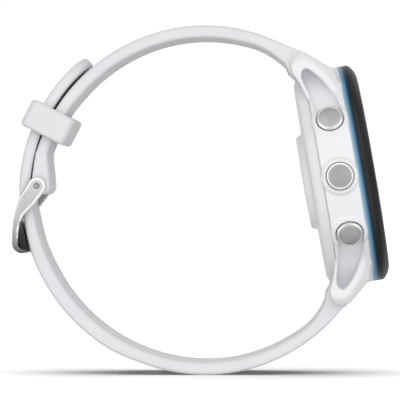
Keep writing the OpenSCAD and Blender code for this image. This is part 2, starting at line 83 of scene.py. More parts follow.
KEEPER_GAP, KEEPER_SIDE = 0.3, 1.9
UPPER_START, UPPER_ARCS = (21.8, 30.95, 156.9), ((7.1, 0), (24, 38.55), (37.95, 57.95))
LOWER_START, LOWER_FREE = (30.3, -22.4, -127.5), 82
LOWER_ARCS = ((35.5, -55.8), (50.1, -74.2), (6.9, -3.8), (2.9, -11.8), (31, -47.5))

# Columns: the case's own X (6 o'clock), Y and Z (the way the display faces), in the row frame
CASE_AXES = np.array([
    [math.sin(TILT), 0, math.cos(TILT)],
    [0, 1, 0],
    [-math.cos(TILT), 0, math.sin(TILT)],
])
CASE_ORIGIN = np.array([CASE_X, 0, CASE_Z])
CASE_MATRIX = Matrix.Translation(Vector(CASE_ORIGIN) * MM) @ Matrix(CASE_AXES).to_4x4()


def from_case(p):
    return p @ CASE_AXES.T + CASE_ORIGIN


def to_case(x, z):
    """Side-view coordinates in the case's own axes, from the row frame's."""
    dx, dz = x - CASE_X, z - CASE_Z
    return (dx * CASE_AXES[0, 0] + dz * CASE_AXES[2, 0],
            dx * CASE_AXES[0, 2] + dz * CASE_AXES[2, 2])


# ---------------------------------------------------------------- distance fields

def meet(a, b, r=0.0):
    """Intersection with its convex edge rounded to radius r."""
    if np.isscalar(r) and r == 0:
        return np.maximum(a, b)
    return (np.minimum(np.maximum(a, b), -r)
            + np.hypot(np.maximum(a + r, 0), np.maximum(b + r, 0)))


def join(a, b, r=0.0):
    """Union with its inner corner filleted to radius r."""
    return -meet(-a, -b, r)


def cut(a, b, r=0.0):
    """a without b, with the new edge rounded to radius r."""
    return meet(a, -b, r)


def ease(d, r):
    """d where it is over r, falling smoothly to 0 at -r."""
    return np.where(d > r, d, np.maximum(d + r, 0) ** 2 / (4 * r))


def slab(v, low, high):
    return np.maximum(low - v, v - high)


def box2(x, y, hx, hy, r=0.0):
    qx, qy = np.abs(x) - hx + r, np.abs(y) - hy + r
    return np.hypot(np.maximum(qx, 0), np.maximum(qy, 0)) + np.minimum(np.maximum(qx, qy), 0) - r


def poly2(points, x, y):
    """Signed distance to a closed outline in the plane."""
    x, y = np.broadcast_arrays(np.asarray(x, float), np.asarray(y, float))
    best = np.full(x.shape, 1e9)
    inside = np.zeros(x.shape, bool)
    pts = np.asarray(points, float)
    for (ax, ay), (bx, by) in zip(pts, np.roll(pts, -1, axis=0)):
        ex, ey = bx - ax, by - ay
        px, py = x - ax, y - ay
        t = np.clip((px * ex + py * ey) / (ex * ex + ey * ey), 0, 1)
        best = np.minimum(best, (px - t * ex) ** 2 + (py - t * ey) ** 2)
        if ay != by:
            crosses = ((ay > y) != (by > y)) & (x < ex * (y - ay) / ey + ax)
            inside ^= crosses
    return np.where(inside, -1, 1) * np.sqrt(best)


def arc(cx, cy, r, start, end, n=12):
    angles = np.radians(np.linspace(start, end, n + 1))
    return [(cx + r * math.cos(a), cy + r * math.sin(a)) for a in angles]


def smooth(points, rounds=2):
    """Corner cutting: a polygon becomes a soft curve."""
    pts = np.asarray(points, float)
    for _ in range(rounds):
        nxt = np.roll(pts, -1, axis=0)
        pts = np.stack([pts * 0.75 + nxt * 0.25, pts * 0.25 + nxt * 0.75], 1).reshape(-1, 2)
    return pts


# ---------------------------------------------------------------- meshes

def new_object(name, verts, faces):
    mesh = bpy.data.meshes.new(name)
    mesh.from_pydata((np.asarray(verts) * MM).tolist(), [], faces)
    mesh.polygons.foreach_set("use_smooth", [True] * len(mesh.polygons))
    mesh.update()
    obj = bpy.data.objects.new(name, mesh)
    bpy.context.scene.collection.objects.link(obj)
    return obj


def surface(name, field, low, high, cell, place=None, passes=3):
    """A quad skin on field = 0, for a field given in millimetres on x, y, z arrays."""
    low, high = np.array(low, float), np.array(high, float)
    size = np.ceil((high - low) / cell).astype(int) + 1
    axes = [low[i] + cell * np.arange(size[i]) for i in range(3)]
    x, y, z = axes[0][:, None, None], axes[1][None, :, None], axes[2][None, None, :]
    values = np.broadcast_to(field(x, y, z), tuple(size)).astype(np.float32)
    inside = values < 0
    strides = np.array([size[1] * size[2], size[2], 1])
    quads, centres = [], []
    for a in range(3):
        lower = [slice(None)] * 3
        upper = [slice(None)] * 3
        lower[a], upper[a] = slice(0, -1), slice(1, None)
        index = np.argwhere(inside[tuple(lower)] != inside[tuple(upper)])
        step = np.eye(3, dtype=int)
        d0 = values[tuple(index.T)].astype(float)
        d1 = values[tuple((index + step[a]).T)].astype(float)
        where = low + cell * (index + (d0 / (d0 - d1))[:, None] * step[a])
        b, c = (a + 1) % 3, (a + 2) % 3
        ring = np.stack([index @ strides, (index - step[b]) @ strides,
                         (index - step[b] - step[c]) @ strides, (index - step[c]) @ strides], 1)
        flip = d0 > 0
        ring[flip] = ring[flip][:, ::-1]
        quads.append(ring)
        centres.append(where)
    quads, centres = np.concatenate(quads), np.concatenate(centres)
    _, flat = np.unique(quads, return_inverse=True)
    flat = flat.reshape(quads.shape)
    count = np.bincount(flat.ravel())
    verts = np.stack([np.bincount(flat.ravel(), np.repeat(centres[:, k], 4)) / count
                      for k in range(3)], 1)
    h = cell * 0.05
    for _ in range(passes):
        d = field(*verts.T)
        grad = np.stack([(field(*(verts + h * e).T) - field(*(verts - h * e).T)) / (2 * h)
                         for e in np.eye(3)], 1)
        move = grad * (d / np.maximum((grad ** 2).sum(1), 0.05))[:, None]
        length = np.linalg.norm(move, axis=1)
        move *= np.minimum(1, 0.5 * cell / np.maximum(length, 1e-9))[:, None]
        verts = verts - move
    if place is not None:
        verts = place(verts)
    return new_object(name, verts, flat.tolist())


def lathe(name, outline, place, sides=160):
    """Turns a closed (radius, height) outline round the Z axis; radius 0 points are poles."""
    rings, verts, faces = [], [], []
    for r, z in outline:
        if r < 1e-6:
            rings.append([len(verts)])
            verts.append((0, 0, z))
        else:
            rings.append(list(range(len(verts), len(verts) + sides)))
            angles = 2 * math.pi * np.arange(sides) / sides
            verts += [(r * math.cos(a), r * math.sin(a), z) for a in angles]
    for one, two in zip(rings, rings[1:] + rings[:1]):
        if len(one) == 1 and len(two) == 1:
            continue
        for k in range(sides):
            n = (k + 1) % sides
            if len(one) == 1:
                faces.append((one[0], two[n], two[k]))
            elif len(two) == 1:
                faces.append((one[k], one[n], two[0]))
            else:
                faces.append((one[k], one[n], two[n], two[k]))
    return new_object(name, place(np.array(verts, float)), faces)


def rounded(points, r, steps=4):
    """Rounds every corner of a closed outline, or the ones where r isn't 0."""
    n = len(points)
    radii = [r] * n if np.isscalar(r) else r
    out = []
    for i, p in enumerate(points):
        p = np.array(p, float)
        if radii[i] == 0 or p[0] < 1e-6:
            out.append(tuple(p))
            continue
        a, b = np.array(points[i - 1], float), np.array(points[(i + 1) % n], float)
        u, v = a - p, b - p
        lu, lv = np.linalg.norm(u), np.linalg.norm(v)
        u, v = u / lu, v / lv
        half = math.acos(np.clip(u @ v, -1, 1)) / 2
        back = min(radii[i] / math.tan(half), lu * 0.49, lv * 0.49)
        q = back * math.tan(half)
        centre = p + (u + v) / np.linalg.norm(u + v) * q / math.sin(half)
        start, end = p + u * back - centre, p + v * back - centre
        a0, a1 = math.atan2(start[1], start[0]), math.atan2(end[1], end[0])
        turn = (a1 - a0 + math.pi) % (2 * math.pi) - math.pi
        for k in range(steps + 1):
            t = a0 + turn * k / steps
            out.append((centre[0] + q * math.cos(t), centre[1] + q * math.sin(t)))
    return out


def use(obj, body, slot, material, *replaced):
    """Gives a piece its material and body, and hides the CAD nodes it stands for; slot is not
    used.
    """
    obj.data.materials.append(material)
    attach(obj, body)
    if replaced:
        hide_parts(*replaced)
    return obj


# ---------------------------------------------------------------- materials

class Shader:
    """A procedural material: a Principled shader with noise in its colour, roughness and bump."""

    def __init__(self, name, colour, rough, metal=0.0, **sockets):
        self.material = bpy.data.materials.new(name)
        self.material.use_nodes = True
        self.tree = self.material.node_tree
        self.bsdf = self.tree.nodes["Principled BSDF"]
        self.set("Base Color", (*colour, 1))
        self.set("Roughness", rough)
        self.set("Metallic", metal)
        for key, value in sockets.items():
            self.set(key.replace("_", " "), value)
        self.colour = colour
        self.where = self.node("ShaderNodeTexCoord").outputs["Object"]

    def set(self, socket, value):
        self.bsdf.inputs[socket].default_value = value

    def node(self, kind, **values):
        n = self.tree.nodes.new(kind)
        for key, value in values.items():
            if hasattr(n, key):
                setattr(n, key, value)
            else:
                n.inputs[key].default_value = value
        return n

    def link(self, a, b):
        self.tree.links.new(a, b)

    def noise(self, scale, detail=3.0, rough=0.55, stretch=None):
        n = self.node("ShaderNodeTexNoise", Scale=scale, Detail=detail, Roughness=rough)
        source = self.where
        if stretch is not None:
            m = self.node("ShaderNodeMapping")
            m.inputs["Scale"].default_value = stretch
            self.link(source, m.inputs["Vector"])
            source = m.outputs["Vector"]
        self.link(source, n.inputs["Vector"])
        return n.outputs["Fac"]

    def span(self, value, low, high, start=0.3, end=0.7):
        m = self.node("ShaderNodeMapRange")
        m.inputs["From Min"].default_value = start
        m.inputs["From Max"].default_value = end
        m.inputs["To Min"].default_value = low
        m.inputs["To Max"].default_value = high
        self.link(value, m.inputs["Value"])
        return m.outputs["Result"]

    def vary_colour(self, value, other, amount=1.0, start=0.35, end=0.65):
        mix = self.node("ShaderNodeMix", data_type="RGBA")
        mix.inputs[6].default_value = (*self.colour, 1)
        mix.inputs[7].default_value = (*other, 1)
        self.link(self.span(value, 0, amount, start, end), mix.inputs["Factor"])
        self.link(mix.outputs[2], self.bsdf.inputs["Base Color"])
        return self

    def vary_rough(self, value, low, high):
        self.link(self.span(value, low, high), self.bsdf.inputs["Roughness"])
        return self

    def bump(self, height, distance, strength=1.0):
        b = self.node("ShaderNodeBump", Strength=strength, Distance=distance)
        self.link(height, b.inputs["Height"])
        self.link(b.outputs["Normal"], self.bsdf.inputs["Normal"])
        return self


def add(shader, a, b):
    m = shader.node("ShaderNodeMath", operation="ADD")
    shader.link(a, m.inputs[0])
    shader.link(b, m.inputs[1])
    return m.outputs[0]


def moulded(name, colour, rough, grain=2600, depth=0.00001, tint=0.94, **sockets):
    """Moulded plastic: fine grain with slight waviness and tone."""
    s = Shader(name, colour, rough, **sockets)
    broad = s.noise(60, 2)
    s.vary_colour(broad, tuple(c * tint for c in colour))
    s.vary_rough(s.noise(400, 3), rough * 0.92, rough * 1.1)
    s.bump(s.noise(grain, 2), depth, 0.35)
    return s.material


def metal(name, colour, rough, grain=3000, stretch=None, depth=0.000006, tint=0.86, **sockets):
    s = Shader(name, colour, rough, 1.0, **sockets)
    fine = s.noise(grain, 2, 0.6, stretch)
    s.vary_colour(s.noise(500, 3, 0.55, stretch), tuple(c * tint for c in colour))
    s.vary_rough(fine, rough * 0.8, rough * 1.25)
    s.bump(fine, depth, 0.4)
    return s.material


def case_height(s):
    """Height along the case's own axis, in millimetres, in a material."""
    dot = s.node("ShaderNodeVectorMath", operation="DOT_PRODUCT")
    sub = s.node("ShaderNodeVectorMath", operation="SUBTRACT")
    sub.inputs[1].default_value = tuple(CASE_ORIGIN * MM)
    dot.inputs[1].default_value = tuple(CASE_AXES[:, 2] / MM)
    s.link(s.where, sub.inputs[0])
    s.link(sub.outputs["Vector"], dot.inputs[0])
    return dot.outputs["Value"]


def case_radius(s):
    """Distance from the case's own axis, in millimetres, in a material."""
    sub = s.node("ShaderNodeVectorMath", operation="SUBTRACT")
    sub.inputs[1].default_value = tuple(CASE_ORIGIN * MM)
    cross = s.node("ShaderNodeVectorMath", operation="CROSS_PRODUCT")
    cross.inputs[1].default_value = tuple(CASE_AXES[:, 2] / MM)
    length = s.node("ShaderNodeVectorMath", operation="LENGTH")
    s.link(s.where, sub.inputs[0])
    s.link(sub.outputs["Vector"], cross.inputs[0])
    s.link(cross.outputs["Vector"], length.inputs[0])
    return length.outputs["Value"]


def ramp(s, value, stops):
    r = s.node("ShaderNodeValToRGB")
    els = r.color_ramp.elements
    while len(els) < len(stops):
        els.new(0.5)
    for el, (at, colour) in zip(els, stops):
        el.position = at
        el.color = (*colour, 1)
    s.link(value, r.inputs["Fac"])
    return r.outputs["Color"]


WHITE = (0.90, 0.905, 0.92)
white_case = moulded("white_case", WHITE, 0.30, tint=0.98)
white_back = moulded("white_back", (0.885, 0.89, 0.905), 0.36, tint=0.975)


def pocket_painted_shade():
    """The case's white, turning matter towards the tips of the lug pockets and greyer there with
    painted shade of the recess.
    """
    s = Shader("pocket_painted_shade_white", WHITE, 0.36)
    deep = s.span(case_radius(s), 0, 1, 21.8, 24.2)
    s.link(ramp(s, deep, [(0.0, (0.86, 0.865, 0.885)), (1.0, (0.68, 0.69, 0.73))]),
           s.bsdf.inputs["Base Color"])
    s.vary_rough(s.noise(400, 3), 0.36, 0.46)
    s.bump(s.noise(2600, 2), 0.00001, 0.35)
    return s.material


pocket_painted_shade_white = pocket_painted_shade()


def silicone():
    s = Shader("white_strap", (0.80, 0.805, 0.825), 0.55, Sheen_Weight=0.1, Sheen_Roughness=0.5)
    s.vary_colour(s.noise(90, 3), (0.78, 0.785, 0.81))
    s.vary_rough(s.noise(700, 3), 0.48, 0.62)
    s.bump(add(s, s.noise(3200, 2), s.span(s.noise(450, 2), 0, 1.2)), 0.000012, 0.4)
    return s.material


white_strap = silicone()


def blue_ring():
    s = Shader("blue_ring", (0.10, 0.42, 0.72), 0.34, Specular_IOR_Level=0.25)
    # The ramp along the case's axis is painted light and shade on the ring's own blue: light at
    # the case side, navy under the bezel's overhang
    at = s.span(case_height(s), 0, 1, CASE_TOP, BEZEL_Z)
    colours = ramp(s, at, [(0.0, (0.42, 0.55, 0.66)), (0.18, (0.28, 0.46, 0.62)),
                           (0.38, (0.14, 0.32, 0.48)), (0.58, (0.075, 0.22, 0.36)),
                           (0.76, (0.018, 0.075, 0.13)), (1.0, (0.012, 0.028, 0.040))])
    s.link(colours, s.bsdf.inputs["Base Color"])
    s.vary_rough(s.noise(900, 2), 0.28, 0.42)
    s.bump(s.noise(2500, 2), 0.000008, 0.3)
    return s.material


def front_glass():
    s = Shader("front_glass", (0.012, 0.012, 0.014), 0.06, Coat_Weight=0.6, Coat_Roughness=0.03,
               IOR=1.5)
    edge = s.span(case_radius(s), 0, 1, WINDOW_R - 0.55, WINDOW_R - 0.45)
    colours = ramp(s, edge, [(0.0, (0.020, 0.023, 0.026)), (1.0, (0.004, 0.004, 0.005))])
    s.link(colours, s.bsdf.inputs["Base Color"])
    s.vary_rough(s.noise(120, 3), 0.045, 0.075)
    return s.material


black_bezel = moulded("black_bezel", (0.020, 0.020, 0.021), 0.42, grain=3000, depth=0.000014,
                      tint=0.8, Specular_IOR_Level=0.3)
ring_blue = blue_ring()
glass = front_glass()


def steel_with_painted_shade(name, stops):
    """Steel brushed along the arms, with painted shade and reflection darkening it towards the
    low end of the bow.
    """
    s = Shader(name, stops[0][1], 0.34, 1.0)
    axes = s.node("ShaderNodeSeparateXYZ")
    s.link(s.where, axes.inputs[0])
    down = s.span(axes.outputs["Z"], 0, 1, 0.003, -0.011)
    s.link(ramp(s, down, stops), s.bsdf.inputs["Base Color"])
    fine = s.noise(2200, 2, 0.6, (1, 1, 0.12))
    s.vary_rough(fine, 0.28, 0.42)
    s.bump(fine, 0.000006, 0.4)
    return s.material


# Outer faces of the arms: the darkening down the bow is a painted reflection of dark surroundings
arm_steel_painted_reflection = steel_with_painted_shade("arm_steel_painted_reflection", [
    (0.0, (0.74, 0.74, 0.745)), (0.45, (0.66, 0.66, 0.66)), (0.64, (0.54, 0.54, 0.55)),
    (0.84, (0.36, 0.365, 0.37)), (1.0, (0.11, 0.115, 0.12))])
# Inner faces towards the strap: dark as painted shade between buckle and strap, darkest low on
# the bow
inner_steel_painted_shade = steel_with_painted_shade("inner_steel_painted_shade", [
    (0.0, (0.50, 0.505, 0.51)), (0.28, (0.42, 0.425, 0.43)), (0.5, (0.14, 0.145, 0.155)),
    (0.7, (0.05, 0.053, 0.06)), (1.0, (0.03, 0.032, 0.036))])
polished_steel = metal("polished_steel", (0.80, 0.80, 0.81), 0.12, 900, tint=0.97,
                       depth=0.000002)
button_face = metal("button_face", (0.49, 0.49, 0.495), 0.42, 4200, depth=0.00001)
bright_steel = metal("bright_steel", (0.62, 0.62, 0.63), 0.25)
pin_steel = metal("pin_steel", (0.50, 0.50, 0.51), 0.38)
sensor_glass = Shader("sensor_glass", (0.015, 0.015, 0.02), 0.05, Transmission_Weight=0.75,
                      IOR=1.5)
sensor_glass.vary_rough(sensor_glass.noise(200, 2), 0.04, 0.07)
sensor_glass = sensor_glass.material

CAD_LOOKS = {
    "black_seal": moulded("black_seal", (0.03, 0.03, 0.03), 0.7),
    "display": moulded("display", (0.012, 0.012, 0.014), 0.15),
    "grey_plastic": moulded("grey_plastic", (0.12, 0.12, 0.13), 0.5),
    "board": moulded("board", (0.02, 0.12, 0.06), 0.35, grain=1200, tint=0.7),
    "black_chips": moulded("black_chips", (0.02, 0.02, 0.02), 0.5),
    "antenna": metal("antenna", (0.75, 0.58, 0.32), 0.35),
    "battery_foil": metal("battery_foil", (0.55, 0.57, 0.60), 0.4, 600),
    "pad": moulded("pad", (0.75, 0.68, 0.35), 0.8, grain=1500, depth=0.00003, tint=0.85),
    "bright_steel": bright_steel,
    "brass_disc": metal("brass_disc", (0.72, 0.60, 0.36), 0.3),
    "emitters": moulded("emitters", (0.50, 0.75, 0.45), 0.2),
    "gold_pins": metal("gold_pins", (0.83, 0.66, 0.32), 0.22),
    "satin_steel": polished_steel,
    "button_steel": button_face,
}

# ---------------------------------------------------------------- case

LUG_SIDE = ([(14, 2.2), (19, 2.0), (22.2, 1.4), (23, 0.4)] + arc(BAR_X, BAR_Z, LUG_R, 42, -90)
            + [(22.9, -7.3), (22.1, -6.95), (20.4, -6.15), (17.9, -5.5), (14, CASE_BOTTOM)])
SEAT_SIDE = [(24.4, -1.25), (22.9, -1.6), (21.7, -3.4), (21.7, -9), (30, -9), (30, 3)]
POCKET_SIDE = smooth([(12.5, -3.7), (14.5, -4.05), (17.5, -4.65), (20.9, -5.75), (22.6, -5.75),
                      (23.6, -4.7), (23.1, -3.7), (21.7, -2.4), (20.3, -1.3), (18.4, -0.3),
                      (17, 0.4), (14.7, 1.1), (12.5, 1.5)], 2)
RIM_SIDE = smooth([(10, -8.5), (22.6, -8.2), (24.9, -6.7), (25.3, -4.7), (24.2, -3.2),
                   (22.3, -1.4), (20.9, -0.2), (18.2, 0.95), (16.1, 1.6), (10, 2.6)], 2)
HOOD_SLOPE, POCKET_DEPTH, WALL_SLANT = 0.95, 2.75, 0.22
SCREW_R, SCREW_RING = 1.7, 18.6


def at_screws(x, y):
    """Distance from the nearest of the four screws' axes."""
    d = SCREW_RING / math.sqrt(2)
    return np.hypot(np.abs(x) - d, np.abs(y) - d)


def button_axes(angle, x, y, z):
    c, s = math.cos(math.radians(angle)), math.sin(math.radians(angle))
    return x * c + y * s, np.hypot(-x * s + y * c, z - BUTTON_Z)


def case_field(x, y, z):
    rad, ax, ay = np.hypot(x, y), np.abs(x), np.abs(y)
    body = meet(rad - CASE_R, slab(z, CASE_BOTTOM, CASE_TOP), 0.22)
    hollow = poly2(POCKET_SIDE, ax, z)
    hood = HOOD_SLOPE * ease(poly2(RIM_SIDE, ax, z), 0.45)
    arms = meet(poly2(LUG_SIDE, ax, z), ay - LUG_Y + hood, 0.35)
    body = join(body, arms, 0.9)
    for angle in BUTTONS.values():
        out, off = button_axes(angle, x, y, z)
        collar = meet(off - COLLAR_R, slab(out, CAVITY_R, COLLAR_FACE), 0.3)
        body = join(body, collar, 0.7)
    floor = join(rad - (CASE_R - 1.7), ay - (LUG_Y - POCKET_DEPTH), 1.5)
    walls = hollow + WALL_SLANT * np.clip(LUG_Y - ay, 0, POCKET_DEPTH)
    body = cut(body, meet(walls, -floor, 0.9), 0.22)
    body = np.minimum(body, np.maximum(rad - 21.3, slab(z, CASE_TOP - 1, BEZEL_Z - 0.15)))
    body = cut(body, np.maximum(poly2(SEAT_SIDE, ax, z), ay - SEAT_HALF), 0.15)
    body = cut(body, np.maximum(rad - (COVER_R + 0.05), z - CASE_BOTTOM), 0.12)
    body = cut(body, np.maximum(rad - CAVITY_R, z - 3.0))
    body = cut(body, np.maximum(rad - CAVITY_R - 0.4, 2.9 - z))
    boss = np.maximum(at_screws(x, y) - SCREW_R, slab(z, CASE_BOTTOM + 0.3, -1))
    body = np.minimum(body, boss)
    body = cut(body, np.maximum(at_screws(x, y) - 0.6, z + 1.6))
    for angle in BUTTONS.values():
        out, off = button_axes(angle, x, y, z)
        body = cut(body, np.maximum(off - CAP_R - CAP_GAP, CAP_FLOOR - out), 0.12)
        body = cut(body, np.maximum(off - 0.95, 18 - out))
    body = cut(body, np.maximum(np.hypot(ax - BAR_X, z - BAR_Z) - 0.5, ay - 12.6))
    vent = np.maximum(np.hypot(x, z) - 0.5, 18 - y)
    return cut(body, vent, 0.1)


case = surface("case_shell", case_field, (-27.2, -24, -8.1), (27.2, 24, 4.0), 0.22)
use(case, "watch", "white_case", white_case, "case_middle")
case.data.materials.append(pocket_painted_shade_white)
# Faces inside the lug pockets take the white with painted shade
spots = np.array([f.center for f in case.data.polygons]) / MM
around = np.hypot(spots[:, 0], spots[:, 1])
in_pocket = ((poly2(POCKET_SIDE, np.abs(spots[:, 0]), spots[:, 2]) < -0.1)
             & ((np.abs(spots[:, 1]) < LUG_Y - 0.3) | (around < CASE_R - 0.5))
             & (np.abs(spots[:, 1]) > LUG_Y - 3.2) & (around > CASE_R - 2.2))
case.data.polygons.foreach_set("material_index", in_pocket.astype(np.int32))
case.data.transform(CASE_MATRIX)

COVER_EDGE = [(-1, CASE_BOTTOM), (COVER_R, CASE_BOTTOM), (21.6, -6.5), (21.15, -7.15),
              (20.6, BACK_Z), (-1, BACK_Z)]
ISLAND_EDGE = [(-1, BACK_Z + 0.6), (10.6, BACK_Z + 0.6), (10.4, BACK_Z), (9.65, ISLAND_Z),
               (-1, ISLAND_Z)]
PORT_X, PORT_DEPTH = 14.6, 0.9


def cover_field(x, y, z):
    rad, ax, ay = np.hypot(x, y), np.abs(x), np.abs(y)
    body = poly2(COVER_EDGE, rad, z)
    body = cut(body, np.maximum(rad - 19.4, FLOOR_Z - z))
    island = meet(poly2(ISLAND_EDGE, rad, z), z - FLOOR_Z, 0)
    body = join(body, island, 0.35)
    body = np.minimum(body, np.maximum(at_screws(x, y) - SCREW_R,
                                       slab(z, FLOOR_Z - 0.5, CASE_BOTTOM)))
    body = cut(body, np.maximum(rad - SENSOR_R - 0.05, z + 7.9), 0.12)
    body = cut(body, rad - 6.6)
    body = cut(body, np.maximum(np.abs(rad - 21.0) - 0.3, CASE_BOTTOM - 0.5 - z))
    body = cut(body, np.maximum(at_screws(x, y) - 1.4, z - BACK_Z - 0.9), 0.12)
    body = cut(body, at_screws(x, y) - 0.75)
    port = box2(x - PORT_X, y, 1.7, 4.3, 1.7)
    body = cut(body, np.maximum(port, z - BACK_Z - PORT_DEPTH), 0.2)
    pins = np.hypot(x - PORT_X, y - 1.7 * (np.clip(np.round(y / 1.7 - 0.5), -2, 1) + 0.5))
    body = cut(body, pins - 0.45)
    return cut(body, np.maximum(poly2(SEAT_SIDE, ax, z), ay - SEAT_HALF), 0.12)


use(surface("rear_shell", cover_field, (-23, -23, -9.2), (23, 23, -4.7), 0.2, from_case),
    "watch", "white_case", white_back, "rear_cover")

# ---------------------------------------------------------------- front

use(lathe("bezel_ring", rounded([
    (WINDOW_R, BEZEL_Z), (CASE_R - 0.05, BEZEL_Z), (CASE_R, 4.3), (CASE_R - 0.5, 4.95),
    (CASE_R - 1.5, 5.62), (CASE_R - 2.4, FRONT_Z - 0.02), (LENS_R + 0.05, FRONT_Z - 0.02),
    (LENS_R + 0.05, 4.65), (WINDOW_R, 4.65)],
    [0, 0.08, 0.4, 0.7, 1.2, 0.3, 0.06, 0.05, 0.05]), from_case, 220),
    "watch", "black_bezel", black_bezel, "bezel")
use(lathe("front_window", rounded([
    (0, 4.75), (LENS_R, 4.75), (LENS_R, FRONT_Z), (0, FRONT_Z)], [0, 0.05, 0.2, 0]),
    from_case, 220), "watch", "front_glass", glass, "front_lens")
use(lathe("blue_accent", rounded([
    (21.4, CASE_TOP), (CASE_R - 0.03, CASE_TOP), (CASE_R - 0.03, BEZEL_Z), (21.4, BEZEL_Z)],
    [0.05, 0.1, 0.06, 0.05]), from_case, 220), "watch", "blue_ring", ring_blue, "accent_ring")
use(lathe("sensor_dome", rounded([
    (0, -7.9), (0, ISLAND_Z - 0.18), (SENSOR_R - 3, ISLAND_Z - 0.15),
    (SENSOR_R - 1, ISLAND_Z - 0.08), (SENSOR_R, ISLAND_Z + 0.03), (SENSOR_R, -7.9)],
    [0, 0, 2, 1, 0.1, 0.05]), from_case, 160), "watch", "sensor_glass", sensor_glass,
    "sensor_window")

# ---------------------------------------------------------------- buttons


def button_place(angle):
    """Puts a lathe's Z axis along a button's own axis."""
    c, s = math.cos(math.radians(angle)), math.sin(math.radians(angle))
    axes = np.array([[0, -s, c], [0, c, s], [-1, 0, 0]])
    return lambda p: from_case(p @ axes.T + np.array([0, 0, BUTTON_Z]))


CAP = rounded([
    (0, STEM_END), (0.55, STEM_END), (0.8, STEM_END + 0.1), (0.8, STEM_END + 0.15),
    (0.55, STEM_END + 0.15), (0.55, STEM_END + 0.4), (0.8, STEM_END + 0.4), (0.8, CAP_BACK),
    (CAP_R, CAP_BACK), (CAP_R, CAP_FACE - 0.2), (CAP_R - 0.3, CAP_FACE - 0.02),
    (CAP_R - 0.33, CAP_FACE - 0.12), (CAP_R - 0.44, CAP_FACE - 0.12), (CAP_R - 0.48, CAP_FACE),
    (0, CAP_FACE)],
    [0, 0, 0, 0, 0, 0, 0, 0, 0.1, 0.08, 0.05, 0.02, 0.02, 0.04, 0], 3)
for button, angle in BUTTONS.items():
    cap = lathe(button + "_cap", CAP, button_place(angle), 96)
    use(cap, button + "_pusher", "button_steel", button_face, button + "_button")
    cap.data.materials.append(polished_steel)
    axis = CASE_AXES @ np.array([math.cos(math.radians(angle)),
                                 math.sin(math.radians(angle)), 0])
    for face in cap.data.polygons:
        off = np.array(face.center) / MM - from_case(np.array([0, 0, BUTTON_Z]))
        along = off @ axis
        if along < CAP_FACE - 0.02 or np.linalg.norm(off - along * axis) > CAP_R - 0.5:
            face.material_index = 1

# ---------------------------------------------------------------- straps


def station(s, start, arcs):
    """Point and heading of the outer line at distances s, as arrays."""
    x = np.full(np.shape(s), float(start[0]))
    z = np.full(np.shape(s), float(start[1]))
    h = np.full(np.shape(s), math.radians(start[2]))
    at = 0.0
    for k, (length, turn) in enumerate(arcs):
        low = -np.inf if k == 0 and turn == 0 else at
        high = np.inf if k == len(arcs) - 1 else at + length
        part = np.clip(s, low, high) - at
        if k == 0 and turn != 0:
            before = np.minimum(s, 0.0)
            x, z = x + before * np.cos(h), z + before * np.sin(h)
        bend = math.radians(turn) / length
        half = bend * part / 2
        chord = part * np.sinc(half / math.pi)
        x, z = x + chord * np.cos(h + half), z + chord * np.sin(h + half)
        h = h + bend * part
        at += length
    return x, z, h


def strap_thickness(s, flare):
    return STRAP_T + flare * np.maximum(0, 1 - np.maximum(s, 0) / FLARE_L) ** 2.2


def fullness(s, start, end, most=0.22):
    """How far the soft strap bulges past its plain thickness, from start to end along it."""
    rise, fall = np.minimum((s - start) / 6, 1), np.minimum((end - s) / 6, 1)
    return most * ease(rise, 0.3) * ease(fall, 0.3)


END_SIDE = ([(23.15, -1.95), (24.45, -1.55), (25.35, -2.3)]
            + arc(BAR_X, BAR_Z, LUG_R - 0.05, 38, 5, 6)
            + [(26.9, -4.9), (24.4, -8.2), (22.7, -7.5), (21.95, -6.6), (21.95, -3.6)])


def strap_place(start, arcs, side):
    def place(p):
        x, z, h = station(p[:, 0], start, arcs)
        d = p[:, 2] * side
        return np.stack([x - d * np.sin(h), p[:, 1], z + d * np.cos(h)], 1)
    return place


def strap_side(s, d, start, arcs, side, flare, inner, bulge):
    """Side-view distance to a strap in its own straightened coordinates, and the point's place.
    inner and bulge are what the strap gains on its inner and outer side."""
    total = sum(length for length, _ in arcs)
    strip = slab(d, -bulge, strap_thickness(s, flare) + inner)
    strip = meet(strip, slab(s, -0.5, total + 9))
    x, z, h = station(s, start, arcs)
    px, pz = x - side * d * np.sin(h), z + side * d * np.cos(h)
    cx, cz = to_case(px, pz)
    near = s < 16
    end = poly2(END_SIDE, np.abs(cx), cz)
    strip = np.where(near, join(strip, np.where(near, end, 99.0), 0.8), strip)
    return strip, px, pz


def strap_cuts(body, px, y, pz):
    """The bar's bore and the room for the lever's knob."""
    cx, cz = to_case(px, pz)
    cx = np.abs(cx)
    body = cut(body, np.hypot(cx - BAR_X, cz - BAR_Z) - 0.95)
    knob = np.maximum(slab(cx, BAR_X - 0.95, BAR_X + 0.95), slab(y, 4.5, 8.1))
    return cut(body, np.maximum(knob, slab(cz, -12, BAR_Z)), 0.2)


def strap_edge(s):
    """Edge rounding: small where the strap lies between the lugs, fuller beyond them."""
    return 0.4 + 0.45 * np.clip((s - 1) / 5, 0, 1)


def upper_field(s, y, d):
    side, px, pz = strap_side(s, d, UPPER_START, UPPER_ARCS, 1, FLARE_T,
                              fullness(s, 7, UPPER_L - 10), 0)
    side = meet(side, s - UPPER_L)
    side = np.where(s > UPPER_L - 8, join(side, poly2(BULB, px, pz), 0.9), side)
    body = meet(side, np.abs(y) - STRAP_HALF, strap_edge(s))
    body = strap_cuts(body, px, y, pz)
    pin = np.hypot(px - PIN_X, pz - PIN_Z)
    body = cut(body, pin - PIN_R - 0.08)
    notch = np.minimum(pin - 1.6,
                       np.maximum(slab(px, PIN_X - 4, PIN_X), slab(pz, PIN_Z - 3, PIN_Z + 1.6)))
    return cut(body, np.maximum(notch, np.abs(y) - 1.5), 0.15)


